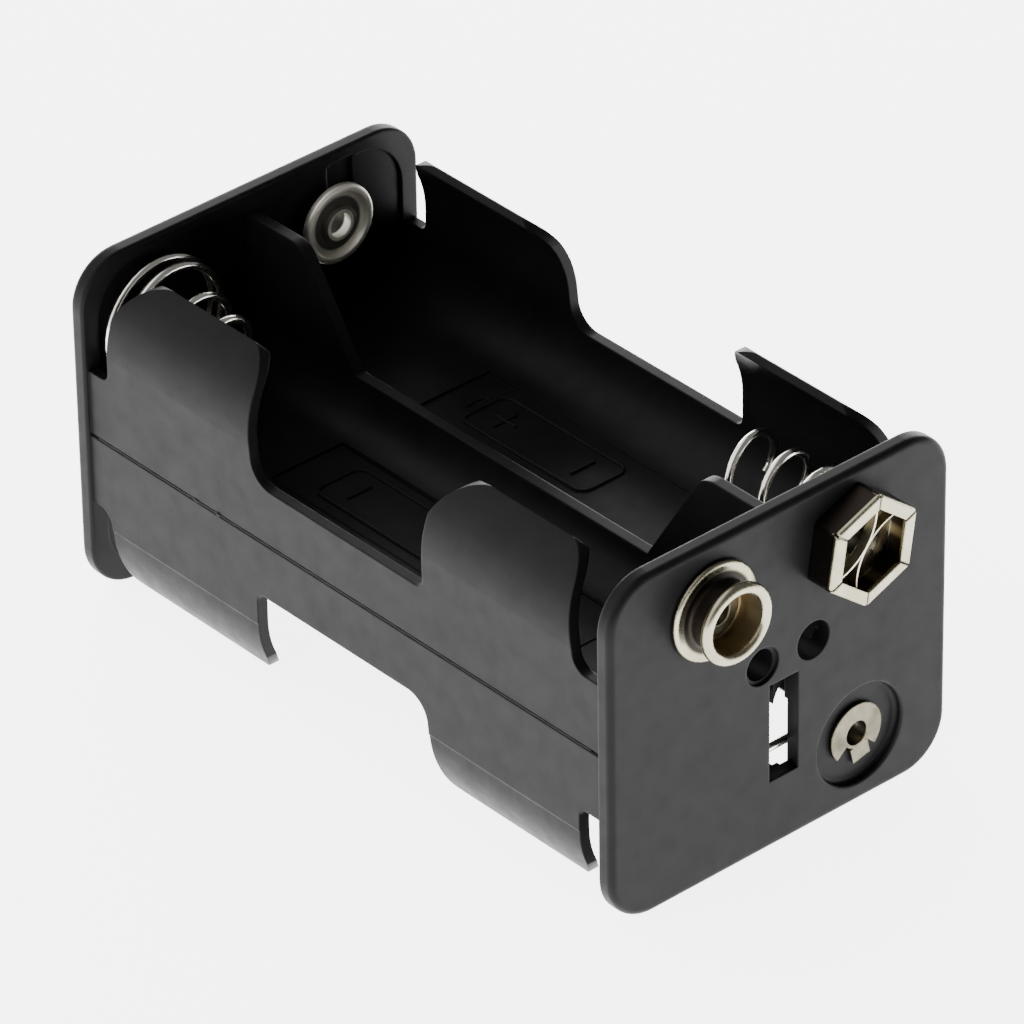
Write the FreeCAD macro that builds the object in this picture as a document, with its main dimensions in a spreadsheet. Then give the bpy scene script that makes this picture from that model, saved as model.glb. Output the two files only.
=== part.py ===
import FreeCAD, Part
import math
import os
import Sketcher

# Four-cell holder with snap terminals. Two cells lie side by side on top, two underneath.
# Lengths are millimetres and angles are degrees. +X points to the snap terminals, +Z is up.
# The origin is under the middle of the whole part's box, on the surface that it rests on.

SIZES = (
    ("holder_length", "56.6", "over the two end plates"),
    ("holder_width", "31.2", "across the end plates"),
    ("holder_height", "27.6", "height of the end plates"),
    ("plate_thickness", "1.4", "end plates"),
    ("plate_corner", "3.8", "corner radius of the end plates"),
    ("plate_edge_round", "0.5", "rounding of the plates' outer rim"),
    ("plate_inner_round", "0.25", "rounding of the plates' inner rim"),
    ("cell_outward", "0.075", "cell axes sit outward of the middle of their bays"),
    ("cell_lift", "7.9", "cell axis above the floor's mid plane"),
    ("seat_inner", "0.9", "shallow seats' inner side from the middle plane"),
    ("seat_inset", "0.3", "their outer side stands in from the side wall"),
    ("seat_bottom", "1.3", "their side by the floor, from the mid plane"),
    ("seat_top", "12.75", "their far side at the far plate, from the mid plane"),
    ("seat_corner", "4.0", "corner radius of the seats"),
    ("seat_depth", "0.3", "depth of the seats in the plates"),
    ("wall_inset", "0.35", "side walls stand in from the plates' edges"),
    ("wall_thickness", "0.85", "side walls"),
    ("low_wall", "4.55", "low side wall between the tabs, from mid plane"),
    ("far_notch", "5.3", "low wall beside the far plate"),
    ("near_notch", "5.72", "low wall beside the near plate"),
    ("parting_step", "0.06", "lower mould half stands proud"),
    ("parting_groove", "0.14", "depth of the parting line"),
    ("bend_start", "7.35", "height where the tabs begin to curl"),
    ("bend_radius", "7.5", "outer radius of the curl"),
    ("bend_angle", "54", "how far the tabs curl over the cells"),
    ("tab_tip_thickness", "0.6", "thickness at the tabs' tips"),
    ("tab_a_start", "24.75", "straight end of the tab by the far plate"),
    ("tab_a_end", "9.75", "sloping end of that tab, at the curl"),
    ("tab_a_foot", "9.2", "sloping end of that tab, at its foot"),
    ("tab_b_start", "8.85", "straight end of the tab by the near plate"),
    ("tab_b_end", "23.15", "sloping end of that tab, at the curl"),
    ("tab_b_foot", "24.1", "sloping end of that tab, at its foot"),
    ("lower_tab_end", "24.6", "the same end of the lower tab by the far plate, at the curl"),
    ("lower_tab_foot", "24.9", "that end at its foot"),
    ("tab_shoulder", "10.4", "height where the straight ends' corners begin"),
    ("tab_corner_run", "4.6", "length of a tab's rounded corner"),
    ("tab_corner_radius", "4.6", "radius of a tab's rounded corner"),
    ("tab_end_shoulder", "11.3", "height where the sloping ends' corners begin"),
    ("tab_end_corner_run", "2.8", "corner at a tab's sloping end"),
    ("tab_end_corner_radius", "2.6", "its radius"),
    ("tab_root_round", "2.1", "fillet at a sloping end's root"),
    ("tab_plate_round", "1.4", "fillet at the root beside a plate"),
    ("notch_round", "0.7", "fillet at the straight ends' roots"),
    ("floor_thickness", "1.3", "floor between the bays"),
    ("panel_depth", "0.12", "sunk panels in the floor of each bay"),
    ("panel_start", "-13.2", "panels' end by the far plate"),
    ("panel_end", "17", "panels' end by the near plate"),
    ("panel_inner", "3.4", "panels' inner edge from the middle plane"),
    ("panel_margin", "0.2", "panels end before the troughs' curve by this"),
    ("trough_corner", "4.0", "radius from the floor into the side wall"),
    ("rib_thickness", "0.9", "divider between neighbouring cells"),
    ("rib_low", "3.9", "divider's height in the middle"),
    ("rib_high_far", "12.1", "divider's height at the far plate, upper side"),
    ("rib_high_near", "12.9", "divider's height at the near plate, upper side"),
    ("ramp_foot", "15.3", "where the divider begins to rise"),
    ("ramp_top", "20.9", "where the divider is high"),
    ("ramp_round", "1.9", "rounding of the divider's shoulder"),
    ("snap_pitch", "12.7", "between the snap terminals"),
    ("snap_lift", "8.53", "snap terminals above the mid plane"),
    ("overshoot", "0.1", "cutting outlines begin this far outside what they cut"),
    ("fit_gap", "0.08", "clearance of barrels in their holes and of seated parts"),
    ("slot_left", "1.1", "wire slot, left of the middle plane"),
    ("slot_right", "1.58", "wire slot, right of the middle plane"),
    ("slot_top", "0.2", "top of the slot below the mid plane"),
    ("slot_bottom", "8.2", "bottom of the slot below the mid plane"),
    ("rib_gap", "1.5", "gap between the lower divider and the near plate"),
    ("core_hole_radius", "1.5", "round coring holes in the near plate"),
    ("core_hole_lip", "0.28", "step inside the left coring hole"),
    ("core_hole_depth", "3.2", "depth of the coring holes"),
    ("core_hole_lift", "1.7", "coring holes above the mid plane"),
    ("core_hole_left", "1.75", "left coring hole from the middle plane"),
    ("core_hole_right", "2.95", "right coring hole from the middle plane"),
    ("recess_radius", "3.95", "round recesses over the clinched contacts"),
    ("recess_depth", "0.65", "depth of the recesses"),
    ("recess_round", "0.3", "fillet round a recess's floor"),
    ("recess_lip_round", "0.2", "rounding of a recess's edge"),
    ("groove_width", "2.35", "lead-in groove above the upper rear contact"),
    ("groove_offset", "1.1", "groove's middle outward from the contact's middle"),
    ("groove_depth", "0.15", "lead-in groove, deeper than the seats"),
    ("groove_foot", "2.0", "foot of the groove above the contact's middle"),
    ("contact_inset", "0.1", "contact eyelets are nearer the middle plane than the cell axes"),
    ("contact_lift", "8.3", "contact eyelets from the mid plane"),
    ("contact_radius", "3.14", "flange of a contact eyelet"),
    ("contact_sheet", "0.25", "sheet of the contact eyelets"),
    ("contact_bead", "0.3", "height of a contact's raised bead"),
    ("contact_dish", "0.2", "depth of a contact's dish below its rim"),
    ("contact_hub", "1.5", "radius where the hub rises"),
    ("barrel_radius", "1.2", "outer radius of the eyelets' barrels"),
    ("barrel_bore", "0.95", "bore of the eyelets' barrels"),
    ("clinch_radius", "2.35", "clinched ends of the eyelets"),
    ("clinch_sheet", "0.25", "thickness of a clinched end"),
    ("clinch_sweep", "263", "arc that the split clinch covers"),
    ("clinch_start", "-43", "where the split clinch begins, from +Y towards +Z"),
    ("petal_width", "1.6", "loose petal of the split clinch"),
    ("petal_angle", "-77", "direction of the loose petal"),
    ("wire_diameter", "0.62", "spring wire"),
    ("spring_length", "11", "free length of the far springs"),
    ("short_spring_length", "11.6", "free length of the springs at the near plate"),
    ("coil_base_radius", "4.9", "springs' base turns"),
    ("coil_tip_radius", "2.9", "springs' last turns"),
    ("coil_pitch", "3.0", "pitch of the open turns of the far springs"),
    ("short_coil_pitch", "3.35", "pitch of the open turns at the near plate"),
    ("close_pitch", "0.95", "pitch of the closed base turns"),
    ("long_base_turns", "1.4", "closed turns of the far springs"),
    ("short_base_turns", "0.75", "closed turns of the near springs"),
    ("taper_turns", "1.05", "open turns over which a spring narrows"),
    ("tail_bend_radius", "1.0", "bend from a spring's base turn into its tail"),
    ("coil_wall_gap", "0.19", "far springs sit outward of the cell axis, this far from the wall"),
    ("base_shift_in", "0.9", "and nearer the floor than the cell axis"),
    ("tail_notch", "1.5", "notch in the floor for a spring's tail"),
    ("tail_notch_reach", "2.0", "the notch runs this far into each far seat"),
    ("stud_height", "2.76", "round stud above the near plate"),
    ("stud_flange_radius", "3.78", "stud's flange"),
    ("stud_flange_height", "0.5", "folded flange of the stud"),
    ("stud_neck_radius", "2.5", "stud's neck"),
    ("stud_lip_radius", "3.1", "stud's rolled lip"),
    ("stud_bore_radius", "2.25", "stud's bore"),
    ("stud_floor", "0.3", "stud's floor"),
    ("stud_clinch_gap", "0.5", "between the clinched barrel and the stud's bore"),
    ("crown_height", "2.33", "six-sided socket above the near plate"),
    ("crown_radius", "4.33", "socket over its corners, as a radius"),
    ("crown_turn", "21.4", "a corner's direction from +Y towards +Z"),
    ("crown_sheet", "0.3", "sheet of the socket"),
    ("crown_lip", "0.95", "width of the turned-in lips, with the wall"),
    ("crown_slit", "0.16", "slits at the corners of the lips"),
    ("crown_slit_depth", "0.75", "how far the slits run down"),
    ("crown_top_round", "0.24", "rounding of the socket's top edge"),
    ("crown_edge_round", "0.55", "rounding of the socket's upright corners"),
    ("clip_width", "0.75", "bowed leaves inside the socket, along its axis"),
    ("clip_sheet", "0.22", "thickness of the leaves"),
    ("clip_bow", "4.4", "bending radius of the leaves"),
    ("clip_lift", "0.85", "leaves above the near plate"),
    ("rivet_head_radius", "2.1", "head of the rivet inside the socket"),
    ("rivet_head_height", "0.3", "height of that head"),
)

NEAR = 1
FAR = -1
UPPER = 1
LOWER = -1
SECTIONS_A_FACE = 12
SECTIONS_A_TURN = 16
SECTIONS_A_RING = 12
SECTIONS_A_BEND = 3
OPENING_TURNS = 0.4
TAPER_POWER = 6
RING_SWEEP = 290
FACING_PLUS_X = FreeCAD.Rotation(FreeCAD.Vector(1, 1, 1), 120)
FACING_MINUS_X = FreeCAD.Rotation(FreeCAD.Vector(0, 0, 1), 180).multiply(FACING_PLUS_X)

doc = FreeCAD.newDocument("battery_holder")


def make_sheet():
    """The driving dimensions, one row each: name, value, meaning."""
    table = doc.addObject("Spreadsheet::Sheet", "sizes")
    for row, (name, value, meaning) in enumerate(SIZES, start=1):
        table.set(f"A{row}", name)
        table.set(f"B{row}", value)
        table.set(f"C{row}", meaning)
        table.setAlias(f"B{row}", name)
    doc.recompute()
    return table


sheet = make_sheet()

# Places that several parts share, written from the sheet's sizes
MIDDLE_X = "(-sizes.stud_height / 2)"
MIDDLE_Z = "(sizes.holder_height / 2)"
HALF_LENGTH = "(sizes.holder_length / 2)"
INNER_FACE = "(sizes.holder_length / 2 - sizes.plate_thickness)"
SEAT_FACE = "(sizes.holder_length / 2 - sizes.plate_thickness + sizes.seat_depth)"
WALL_OUT = "(sizes.holder_width / 2 - sizes.wall_inset)"
WALL_IN = "(sizes.holder_width / 2 - sizes.wall_inset - sizes.wall_thickness)"
RIB_SIDE = "(sizes.rib_thickness / 2)"
CELL_OFFSET = f"(({WALL_IN} + {RIB_SIDE}) / 2 + sizes.cell_outward)"
CONTACT_OFFSET = f"({CELL_OFFSET} - sizes.contact_inset)"
PANEL_OUTER = f"({WALL_IN} - sizes.trough_corner - sizes.panel_margin)"
FLOOR_TOP = "(sizes.floor_thickness / 2)"
COIL_TOP = "(sizes.cell_lift + sizes.coil_base_radius + sizes.wire_diameter / 2 + sizes.fit_gap)"
COIL_SHIFT = (f"({WALL_IN} - {CELL_OFFSET} - sizes.coil_base_radius - sizes.wire_diameter / 2"
              " - sizes.coil_wall_gap)")
RIB_FILLET = "(sizes.rib_low - sizes.floor_thickness / 2)"
TIP_OUT_U = f"({WALL_OUT} - sizes.bend_radius * (1 - cos(sizes.bend_angle)))"
TIP_OUT_V = "(sizes.bend_start + sizes.bend_radius * sin(sizes.bend_angle))"
TIP_IN_U = f"({TIP_OUT_U} - sizes.tab_tip_thickness * cos(sizes.bend_angle))"
TIP_IN_V = f"({TIP_OUT_V} - sizes.tab_tip_thickness * sin(sizes.bend_angle))"
TIP_RUN = f"({WALL_IN} - {TIP_IN_U})"
TIP_RISE = f"({TIP_IN_V} - sizes.bend_start)"
TAB_INNER_RADIUS = f"(({TIP_RUN}^2 + {TIP_RISE}^2) / (2 * {TIP_RUN}))"
FLANGE_FLOOR = "(sizes.wire_diameter + 2 * sizes.fit_gap)"
BARREL_HOLE = "(sizes.barrel_radius + sizes.fit_gap)"
RING_RADIUS = "(sizes.barrel_radius + sizes.fit_gap + sizes.wire_diameter / 2)"


def size(expression):
    """The present value of an expression over the sheet's names."""
    return float(sheet.evalExpression(str(expression)))


def negated(expression):
    return f"(-{expression})"


def plane_of(body, role):
    for feature in body.Origin.OriginFeatures:
        if feature.Role == role:
            return feature
    raise ValueError(role)


def new_body(name, label):
    body = doc.addObject("PartDesign::Body", name)
    body.Label = label
    return body


def new_sketch(body, name, role, offset=None):
    """A sketch on one of the body's own planes, moved along the plane's normal by offset."""
    sketch = body.newObject("Sketcher::SketchObject", name)
    sketch.AttachmentSupport = [(plane_of(body, role), "")]
    sketch.MapMode = "FlatFace"
    if offset is not None:
        sketch.setExpression("AttachmentOffset.Base.z", offset)
    return sketch


def bind(sketch, kind, geometry, point, expression):
    """One dimension of the sketch, tied to the sheet."""
    value = size(expression)
    if point is None:
        constraint = Sketcher.Constraint(kind, geometry, value)
    else:
        constraint = Sketcher.Constraint(kind, geometry, point, value)
    number = sketch.addConstraint(constraint)
    sketch.setExpression(f"Constraints[{number}]", str(expression))


def arc_between(start, end, radius, turn):
    """The arc from start to end; it turns left for +1 and right for -1."""
    ahead = end - start
    middle = (start + end) * 0.5
    rise = math.sqrt(max(radius ** 2 - (ahead.Length / 2) ** 2, 0.0))
    left = FreeCAD.Vector(-ahead.y, ahead.x, 0).normalize()
    centre = middle + left * rise * turn
    first, last = (start, end) if turn > 0 else (end, start)
    angle_first = math.atan2(first.y - centre.y, first.x - centre.x)
    angle_last = math.atan2(last.y - centre.y, last.x - centre.x)
    circle = Part.Circle(centre, FreeCAD.Vector(0, 0, 1), radius)
    return Part.ArcOfCircle(circle, angle_first, angle_last)


def closed_outline(sketch, corners):
    """A closed outline. Each corner is (u, v), or (u, v, radius, turn) when an arc follows it."""
    points = []
    for corner in corners:
        points.append(FreeCAD.Vector(size(corner[0]), size(corner[1]), 0))
    sides = []
    for number, corner in enumerate(corners):
        start = points[number]
        end = points[(number + 1) % len(points)]
        if len(corner) == 2:
            sides.append((sketch.addGeometry(Part.LineSegment(start, end)), 1, 2))
        else:
            turn = corner[3]
            arc = sketch.addGeometry(arc_between(start, end, size(corner[2]), turn))
            sides.append((arc, 1, 2) if turn > 0 else (arc, 2, 1))
    for number, corner in enumerate(corners):
        side, start_point, end_point = sides[number]
        following, following_start, _ = sides[(number + 1) % len(sides)]
        sketch.addConstraint(
            Sketcher.Constraint("Coincident", side, end_point, following, following_start))
        bind(sketch, "DistanceX", side, start_point, corner[0])
        bind(sketch, "DistanceY", side, start_point, corner[1])
        if len(corner) > 2:
            bind(sketch, "Radius", side, None, corner[2])


def circle(sketch, u, v, radius):
    """A circle whose centre and radius are tied to the sheet."""
    centre = FreeCAD.Vector(size(u), size(v), 0)
    ring = sketch.addGeometry(Part.Circle(centre, FreeCAD.Vector(0, 0, 1), size(radius)))
    bind(sketch, "DistanceX", ring, 3, u)
    bind(sketch, "DistanceY", ring, 3, v)
    bind(sketch, "Radius", ring, None, radius)


def rectangle(sketch, left, bottom, right, top):
    closed_outline(sketch, [(left, bottom), (right, bottom), (right, top), (left, top)])


def rounded_rectangle(sketch, left, bottom, right, top, corner):
    closed_outline(sketch, [
        (f"({left} + {corner})", bottom),
        (f"({right} - {corner})", bottom, corner, 1),
        (right, f"({bottom} + {corner})"),
        (right, f"({top} - {corner})", corner, 1),
        (f"({right} - {corner})", top),
        (f"({left} + {corner})", top, corner, 1),
        (left, f"({top} - {corner})"),
        (left, f"({bottom} + {corner})", corner, 1),
    ])


def pad(body, name, sketch, length, symmetric=False, backward=False):
    feature = body.newObject("PartDesign::Pad", name)
    feature.Profile = (sketch, [""])
    feature.setExpression("Length", length)
    feature.SideType = "Symmetric" if symmetric else "One side"
    feature.Reversed = backward
    body.Tip = feature
    doc.recompute()
    return feature


def pocket(body, name, sketch, length=None, backward=False):
    """Cuts to a length, or right through both ways when no length is given."""
    before = body.Tip.Shape.Volume
    feature = body.newObject("PartDesign::Pocket", name)
    feature.Profile = (sketch, [""])
    if length is None:
        feature.Type = "ThroughAll"
        feature.SideType = "Symmetric"
    else:
        feature.setExpression("Length", length)
        feature.Reversed = backward
    body.Tip = feature
    doc.recompute()
    if feature.Shape.Volume >= before - 1e-6:
        raise RuntimeError(f"{name} cuts nothing")
    return feature


def revolve(body, name, sketch, angle="360"):
    feature = body.newObject("PartDesign::Revolution", name)
    feature.Profile = (sketch, [""])
    feature.ReferenceAxis = (sketch, ["V_Axis"])
    feature.setExpression("Angle", angle)
    body.Tip = feature
    doc.recompute()
    return feature


def mirrored(body, name, originals, role):
    feature = body.newObject("PartDesign::Mirrored", name)
    feature.Originals = originals
    feature.MirrorPlane = (plane_of(body, role), [""])
    body.Tip = feature
    doc.recompute()
    return feature


def turned(body, name, originals, role, count):
    feature = body.newObject("PartDesign::PolarPattern", name)
    feature.Originals = originals
    feature.Axis = (plane_of(body, role), [""])
    feature.Angle = 360
    feature.Occurrences = count
    body.Tip = feature
    doc.recompute()
    return feature


def fillet(body, name, radius, wanted):
    """Rounds the edges of the body so far that the test picks out."""
    base = body.Tip
    names = []
    for number, edge in enumerate(base.Shape.Edges, start=1):
        if wanted(edge):
            names.append(f"Edge{number}")
    if not names:
        raise RuntimeError(f"{name} finds no edge")
    feature = body.newObject("PartDesign::Fillet", name)
    feature.Base = (base, names)
    feature.setExpression("Radius", radius)
    body.Tip = feature
    doc.recompute()
    return feature


def place(feature, x, y, z, rotation=None):
    """Puts a sub-part at a place given from the holder's middle."""
    if rotation is not None:
        feature.Placement.Rotation = rotation
    feature.setExpression("Placement.Base.x", f"{MIDDLE_X} + {x}")
    feature.setExpression("Placement.Base.y", f"{y}")
    feature.setExpression("Placement.Base.z", f"{MIDDLE_Z} + {z}")


def wall_outline(sketch):
    """Right half of the cross-section: divider foot, floor, troughs, side wall and both curled tabs."""
    rib_floor_u = f"({RIB_SIDE} + {RIB_FILLET})"
    trough_u = f"({WALL_IN} - sizes.trough_corner)"
    trough_v = f"({FLOOR_TOP} + sizes.trough_corner)"
    low_out = f"({WALL_OUT} + sizes.parting_step)"
    groove_in = f"({WALL_OUT} - sizes.parting_groove)"
    closed_outline(sketch, [
        ("0", "sizes.rib_low"),
        ("0", negated("sizes.rib_low")),
        (RIB_SIDE, negated("sizes.rib_low"), RIB_FILLET, -1),
        (rib_floor_u, negated(FLOOR_TOP)),
        (trough_u, negated(FLOOR_TOP), "sizes.trough_corner", -1),
        (WALL_IN, negated(trough_v)),
        (WALL_IN, negated("sizes.bend_start"), TAB_INNER_RADIUS, -1),
        (TIP_IN_U, negated(TIP_IN_V)),
        (TIP_OUT_U, negated(TIP_OUT_V), "sizes.bend_radius", 1),
        (WALL_OUT, negated("sizes.bend_start")),
        (low_out, negated("(sizes.bend_start - 2 * sizes.parting_step)")),
        (low_out, "-sizes.parting_groove"),
        (groove_in, "0"),
        (WALL_OUT, "sizes.parting_groove"),
        (WALL_OUT, "sizes.bend_start", "sizes.bend_radius", 1),
        (TIP_OUT_U, TIP_OUT_V),
        (TIP_IN_U, TIP_IN_V, TAB_INNER_RADIUS, -1),
        (WALL_IN, "sizes.bend_start"),
        (WALL_IN, trough_v, "sizes.trough_corner", -1),
        (trough_u, FLOOR_TOP),
        (rib_floor_u, FLOOR_TOP, RIB_FILLET, -1),
        (RIB_SIDE, "sizes.rib_low"),
    ])


def window_outlines(sketch, level):
    """The three openings of a side wall on one level. The lower ones are the upper ones turned half
    round the Y axis, but for the end of the tab that has the sloping end beside a plate."""
    above = f"({TIP_OUT_V} + 1)"
    past_plate = f"({INNER_FACE} + sizes.plate_thickness / 4)"
    notch_r = "sizes.notch_round"
    a_start = "(-sizes.tab_a_start)"
    a_end = "(-sizes.tab_a_end)"
    a_foot = "(-sizes.tab_a_foot)"
    b_end = "sizes.tab_b_end" if level == UPPER else "sizes.lower_tab_end"
    b_foot = "sizes.tab_b_foot" if level == UPPER else "sizes.lower_tab_foot"
    root = "sizes.tab_root_round"
    plate_root = "sizes.tab_plate_round"
    far_opening = [
        (negated(past_plate), above),
        (negated(past_plate), "sizes.far_notch"),
        (f"({a_start} - {notch_r})", "sizes.far_notch", notch_r, 1),
        (a_start, f"(sizes.far_notch + {notch_r})"),
        (a_start, "sizes.tab_shoulder", "sizes.tab_corner_radius", -1),
        (f"({a_start} + sizes.tab_corner_run)", TIP_OUT_V),
        (f"({a_start} + sizes.tab_corner_run)", above),
    ]
    middle_opening = [
        (f"({a_end} - sizes.tab_end_corner_run)", above),
        (f"({a_end} - sizes.tab_end_corner_run)", TIP_OUT_V, "sizes.tab_end_corner_radius", -1),
        (a_end, "sizes.tab_end_shoulder"),
        (a_foot, f"(sizes.low_wall + {root})", root, 1),
        (f"({a_foot} + {root})", "sizes.low_wall"),
        (f"(sizes.tab_b_start - {notch_r})", "sizes.low_wall", notch_r, 1),
        ("sizes.tab_b_start", f"(sizes.low_wall + {notch_r})"),
        ("sizes.tab_b_start", "sizes.tab_shoulder", "sizes.tab_corner_radius", -1),
        ("(sizes.tab_b_start + sizes.tab_corner_run)", TIP_OUT_V),
        ("(sizes.tab_b_start + sizes.tab_corner_run)", above),
    ]
    near_opening = [
        (f"({b_end} - sizes.tab_end_corner_run)", above),
        (f"({b_end} - sizes.tab_end_corner_run)", TIP_OUT_V, "sizes.tab_end_corner_radius", -1),
        (b_end, "sizes.tab_end_shoulder"),
        (b_foot, f"(sizes.near_notch + {plate_root})", plate_root, 1),
        (f"({b_foot} + {plate_root})", "sizes.near_notch"),
        (past_plate, "sizes.near_notch"),
        (past_plate, above),
    ]
    for opening in (far_opening, middle_opening, near_opening):
        if level == LOWER:
            opening = [(negated(corner[0]), negated(corner[1]), *corner[2:]) for corner in opening]
        closed_outline(sketch, opening)


def floor_panels(body):
    """Shallow panels sunk into both faces of the floor, one in each bay."""
    for level, level_name in ((UPPER, "Upper"), (LOWER, "Lower")):
        face = FLOOR_TOP if level == UPPER else negated(FLOOR_TOP)
        panels = new_sketch(body, f"{level_name}PanelOutlines", "XY_Plane", face)
        rectangle(panels, "sizes.panel_start", "sizes.panel_inner", "sizes.panel_end", PANEL_OUTER)
        rectangle(panels, "sizes.panel_start", negated(PANEL_OUTER), "sizes.panel_end",
                  "(-sizes.panel_inner)")
        pocket(body, f"{level_name}Panels", panels, "sizes.panel_depth", backward=level == LOWER)


def rib_outline(sketch, end, height):
    """The divider's high end with its ramp, on the upper side; end is +1 by the near plate."""
    plate_u = f"({INNER_FACE} + sizes.plate_thickness / 2)"
    corners = [(plate_u, "0"), (plate_u, height), ("sizes.ramp_top", height),
               ("sizes.ramp_foot", "sizes.rib_low"), ("sizes.ramp_foot", "0")]
    if end == FAR:
        corners = [(negated(u), v) for u, v in reversed(corners)]
    closed_outline(sketch, corners)


def plate_outline(sketch):
    half_u = "(sizes.holder_width / 2)"
    half_v = "(sizes.holder_height / 2)"
    side_u = "(sizes.holder_width / 2 - sizes.plate_corner)"
    side_v = "(sizes.holder_height / 2 - sizes.plate_corner)"
    closed_outline(sketch, [
        (negated(side_u), negated(half_v)),
        (side_u, negated(half_v), "sizes.plate_corner", 1),
        (half_u, negated(side_v)),
        (half_u, side_v, "sizes.plate_corner", 1),
        (side_u, half_v),
        (negated(side_u), half_v, "sizes.plate_corner", 1),
        (negated(half_u), side_v),
        (negated(half_u), negated(side_v), "sizes.plate_corner", 1),
    ])


def on_plate_rim(edge, face_x):
    """Whether an edge lies on the outer rim of an end plate, in the plane at face_x from the middle."""
    half_width = size("holder_width") / 2
    half_height = size("holder_height") / 2
    corner = size("plate_corner")
    for point in edge.discretize(5):
        if abs(abs(point.x) - face_x) > 1e-4:
            return False
        u = abs(point.y) - (half_width - corner)
        v = abs(point.z) - (half_height - corner)
        reach = math.hypot(u, v) if u > 0 and v > 0 else max(u, v)
        if abs(reach - corner) > 1e-3:
            return False
    return True


def make_housing():
    """The one moulding: walls with tabs, floor, divider and two end plates."""
    body = new_body("Housing", "housing")

    section = new_sketch(body, "WallSection", "YZ_Plane")
    wall_outline(section)
    walls = pad(body, "Walls", section, "sizes.holder_length - sizes.plate_thickness", symmetric=True)
    mirrored(body, "WallsBothSides", [walls], "XZ_Plane")

    for level, level_name in ((UPPER, "Upper"), (LOWER, "Lower")):
        windows = new_sketch(body, f"{level_name}WindowOutlines", "XZ_Plane")
        window_outlines(windows, level)
        pocket(body, f"{level_name}Windows", windows)
    floor_panels(body)

    rib = new_sketch(body, "DividerOutlines", "XZ_Plane")
    rib_outline(rib, FAR, "sizes.rib_high_far")
    rib_outline(rib, NEAR, "sizes.rib_high_near")
    high_ends = pad(body, "DividerEnds", rib, "sizes.rib_thickness", symmetric=True)
    turned(body, "AllDividerEnds", [high_ends], "Y_Axis", 2)
    shoulder = size("ramp_top")

    def on_shoulder(edge):
        first, last = edge.Vertexes[0].Point, edge.Vertexes[-1].Point
        across = abs(first.x - last.x) < 1e-6 and abs(first.z - last.z) < 1e-6
        return across and abs(abs(first.x) - shoulder) < 1e-4 and abs(first.z) > size("rib_low")

    fillet(body, "DividerShoulders", "sizes.ramp_round", on_shoulder)

    plate = new_sketch(body, "PlateOutline", "YZ_Plane", INNER_FACE)
    plate_outline(plate)
    near_plate = pad(body, "NearPlate", plate, "sizes.plate_thickness")
    mirrored(body, "BothPlates", [near_plate], "YZ_Plane")
    outer_x = size(HALF_LENGTH)
    inner_x = size(INNER_FACE)
    fillet(body, "PlateOuterRims", "sizes.plate_edge_round", lambda edge: on_plate_rim(edge, outer_x))
    fillet(body, "PlateInnerRims", "sizes.plate_inner_round", lambda edge: on_plate_rim(edge, inner_x))

    cut_seats(body, "Near", INNER_FACE, COIL_TOP, True)
    cut_seats(body, "Far", negated(INNER_FACE), "sizes.seat_top", False)
    cut_near_plate(body)
    cut_far_plate(body)
    place(body, "0", "0", "0")
    return body


def cut_seats(body, end_name, face, top, backward):
    """Four shallow seats in the inner face of an end plate, one for each cell."""
    inner = "sizes.seat_inner"
    outer = f"({WALL_IN} - sizes.seat_inset)"
    bottom = "sizes.seat_bottom"
    seats = new_sketch(body, f"{end_name}SeatOutlines", "YZ_Plane", face)
    for left, right in ((inner, outer), (negated(outer), negated(inner))):
        for low, high in ((bottom, top), (negated(top), negated(bottom))):
            rounded_rectangle(seats, left, low, right, high, "sizes.seat_corner")
    pocket(body, f"{end_name}Seats", seats, "sizes.seat_depth", backward)


def cut_near_plate(body):
    """Slot, coring holes, recess and barrel holes of the plate with the snap terminals."""
    through = "(sizes.plate_thickness + sizes.overshoot)"
    slot = new_sketch(body, "WireSlotOutline", "YZ_Plane", f"({HALF_LENGTH} + sizes.overshoot)")
    rectangle(slot, "(-sizes.slot_left)", "(-sizes.slot_bottom)", "sizes.slot_right", "(-sizes.slot_top)")
    pocket(body, "WireSlot", slot, through)

    behind = new_sketch(body, "DividerGapOutline", "YZ_Plane", INNER_FACE)
    rectangle(behind, f"(-{RIB_SIDE} - sizes.fit_gap)", "(-sizes.slot_bottom)",
              f"({RIB_SIDE} + sizes.fit_gap)", "(-sizes.slot_top - sizes.floor_thickness / 2)")
    pocket(body, "DividerGap", behind, "sizes.rib_gap")

    holes = new_sketch(body, "BarrelHoleCircles", "YZ_Plane", f"({HALF_LENGTH} + sizes.overshoot)")
    circle(holes, "(-sizes.snap_pitch / 2)", "sizes.snap_lift", BARREL_HOLE)
    circle(holes, "(sizes.snap_pitch / 2)", "sizes.snap_lift", BARREL_HOLE)
    circle(holes, CONTACT_OFFSET, "(-sizes.contact_lift)", BARREL_HOLE)
    pocket(body, "BarrelHoles", holes, through)

    cores = new_sketch(body, "CoringCircles", "YZ_Plane", HALF_LENGTH)
    circle(cores, "(-sizes.core_hole_left)", "sizes.core_hole_lift",
           "(sizes.core_hole_radius - sizes.core_hole_lip)")
    circle(cores, "sizes.core_hole_right", "sizes.core_hole_lift", "sizes.core_hole_radius")
    pocket(body, "CoringHoles", cores, "sizes.core_hole_depth")

    mouth = new_sketch(body, "CoringMouthCircle", "YZ_Plane", HALF_LENGTH)
    circle(mouth, "(-sizes.core_hole_left)", "sizes.core_hole_lift", "sizes.core_hole_radius")
    pocket(body, "CoringMouth", mouth, "sizes.core_hole_lip")

    recess(body, "Near", HALF_LENGTH, [(CONTACT_OFFSET, "(-sizes.contact_lift)")], False)


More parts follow.
